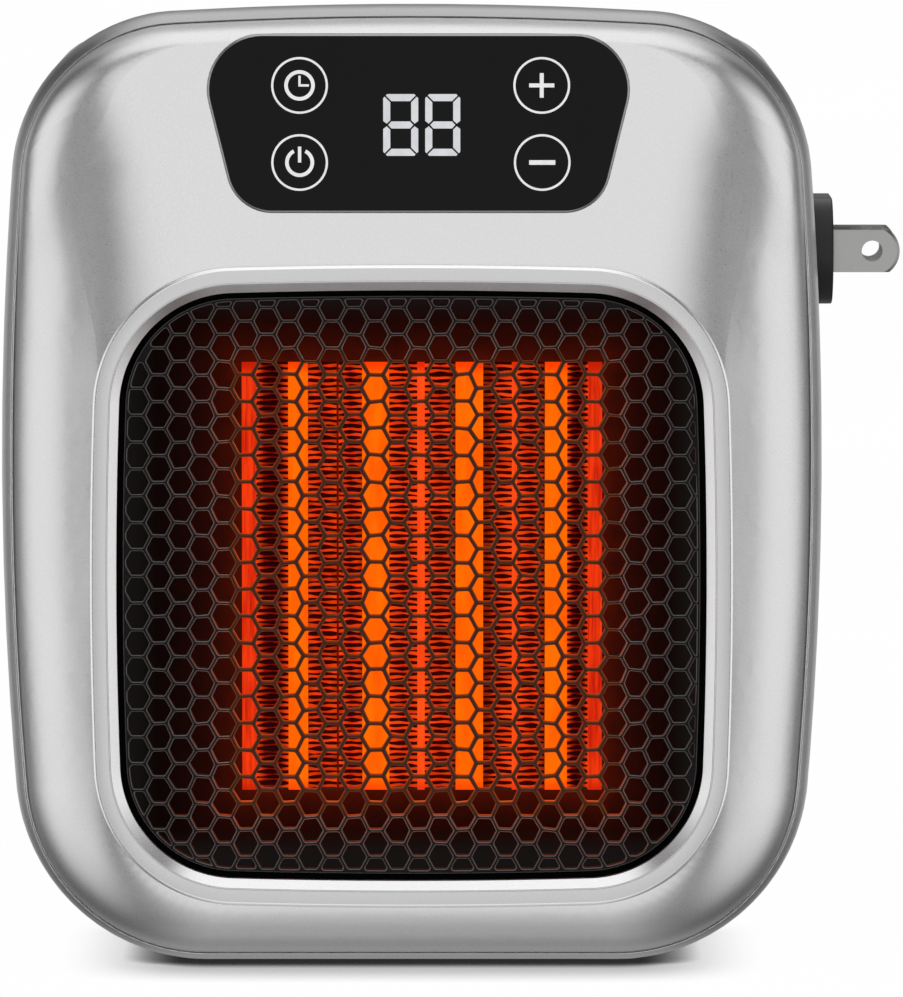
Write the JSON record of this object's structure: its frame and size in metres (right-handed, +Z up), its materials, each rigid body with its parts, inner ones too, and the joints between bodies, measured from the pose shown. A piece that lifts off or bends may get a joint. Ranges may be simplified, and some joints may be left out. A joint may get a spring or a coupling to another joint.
{
  "type": "plug-in fan heater",
  "caption": "Small plug-in fan heater: silver pillow-shaped housing, honeycomb outlet grille over glowing heating bars, touch panel with digits, and a swivel plug on the side.",
  "frame": {"origin": "on the surface the heater stands on, under the middle of the housing (the middle of its flat underside)", "axes": "+Z up, the front with its outlet grille faces -Y, the plug leaves at +X"},
  "size_m": [0.1345, 0.0786, 0.1426],
  "materials": {
    "silver_paint": "satin metallic silver",
    "silver_trim": "satin metallic silver, a little brighter",
    "black_grille": "moulded heat-resistant black",
    "panel_black": "gloss black",
    "print_white": "white print",
    "digit_light": "lit digits",
    "white_plastic": "moulded white",
    "foam": "conductive foam",
    "board_green": "solder resist",
    "chip_black": "moulded black",
    "screw_steel": "zinc plated",
    "black_resin": "glass-filled black",
    "heater_plate": "glowing red",
    "heater_bar": "glowing orange",
    "ceramic_stone": "fired grey",
    "heater_fin": "glowing red",
    "heater_strip": "glowing orange-red",
    "end_cap": "heat-resistant brown-black",
    "tab_metal": "stamped",
    "thermostat_body": "phenolic",
    "fuse_metal": "nickel plated",
    "motor_steel": "zinc plated",
    "magnet": "sintered ferrite",
    "bronze": "sintered",
    "carbon": "graphite",
    "copper": "enamelled copper",
    "fan_plastic": "moulded dark grey",
    "relay_black": "moulded",
    "coil_yellow": "taped coil",
    "cap_blue": "sleeved",
    "plug_black": "moulded black",
    "blade_nickel": "nickel plated",
    "lead_black": "insulated",
    "lead_red": "silicone insulated",
    "ribbon_grey": "flat cable"
  },
  "bodies": {
    "housing": {"capacitors": "cap_blue", "carrier_screws": "screw_steel", "case_screws": "screw_steel", "chamber_screws": "screw_steel", "contact_carrier": "plug_black", "contact_wipers": "tab_metal", "control_board": "board_green", "control_board_screws": "screw_steel", "control_chips": "chip_black", "display_module": "white_plastic", "display_segments": "digit_light", "fan_shroud": "black_resin", "front_shell": "silver_paint", "fuse": "fuse_metal", "grille_bezel": "silver_trim", "heater_chamber": "black_resin", "heater_leads": "lead_red", "honeycomb_grille": "black_grille", "intake_grille": "black_resin", "motor_bearings": "bronze", "motor_brushes": "carbon", "motor_can": "motor_steel", "motor_end_bell": "black_resin", "motor_leads": "lead_black", "motor_magnets": "magnet", "panel_icons": "print_white", "panel_lens": "panel_black", "panel_ribbon": "ribbon_grey", "power_board": "board_green", "power_board_screws": "screw_steel", "ptc_divider_strips": "heater_strip", "ptc_end_caps": "end_cap", "ptc_fins": "heater_fin", "ptc_heating_bars": "heater_bar", "ptc_side_plates": "heater_plate", "ptc_stones": "ceramic_stone", "ptc_terminals": "tab_metal", "rear_shell": "silver_paint", "relays": "relay_black", "shroud_screws": "screw_steel", "supply_leads": "lead_black", "terminal_block": "white_plastic", "thermal_fuse": "fuse_metal", "thermostat": "thermostat_body", "touch_pads": "foam", "transformer": "coil_yellow"},
    "fan": {"fan_impeller": "fan_plastic", "motor_shaft": "motor_steel", "motor_armature": "motor_steel", "motor_windings": "copper", "motor_commutator": "copper"},
    "plug": {"plug_turntable": "plug_black", "plug_blades": "blade_nickel", "plug_retainer": "motor_steel", "plug_contact_plates": "tab_metal"}
  },
  "joints": [
    {"name": "fan_spin", "type": "hinge", "parent": "housing", "child": "fan", "pos_m": [0, 0.002, 0.05745], "axis": [0, 1, 0], "continuous": true},
    {"name": "plug_swivel", "type": "hinge", "parent": "housing", "child": "plug", "pos_m": [0.055, 0.008, 0.10445], "axis": [1, 0, 0], "range_deg": [-90, 90]}
  ]
}
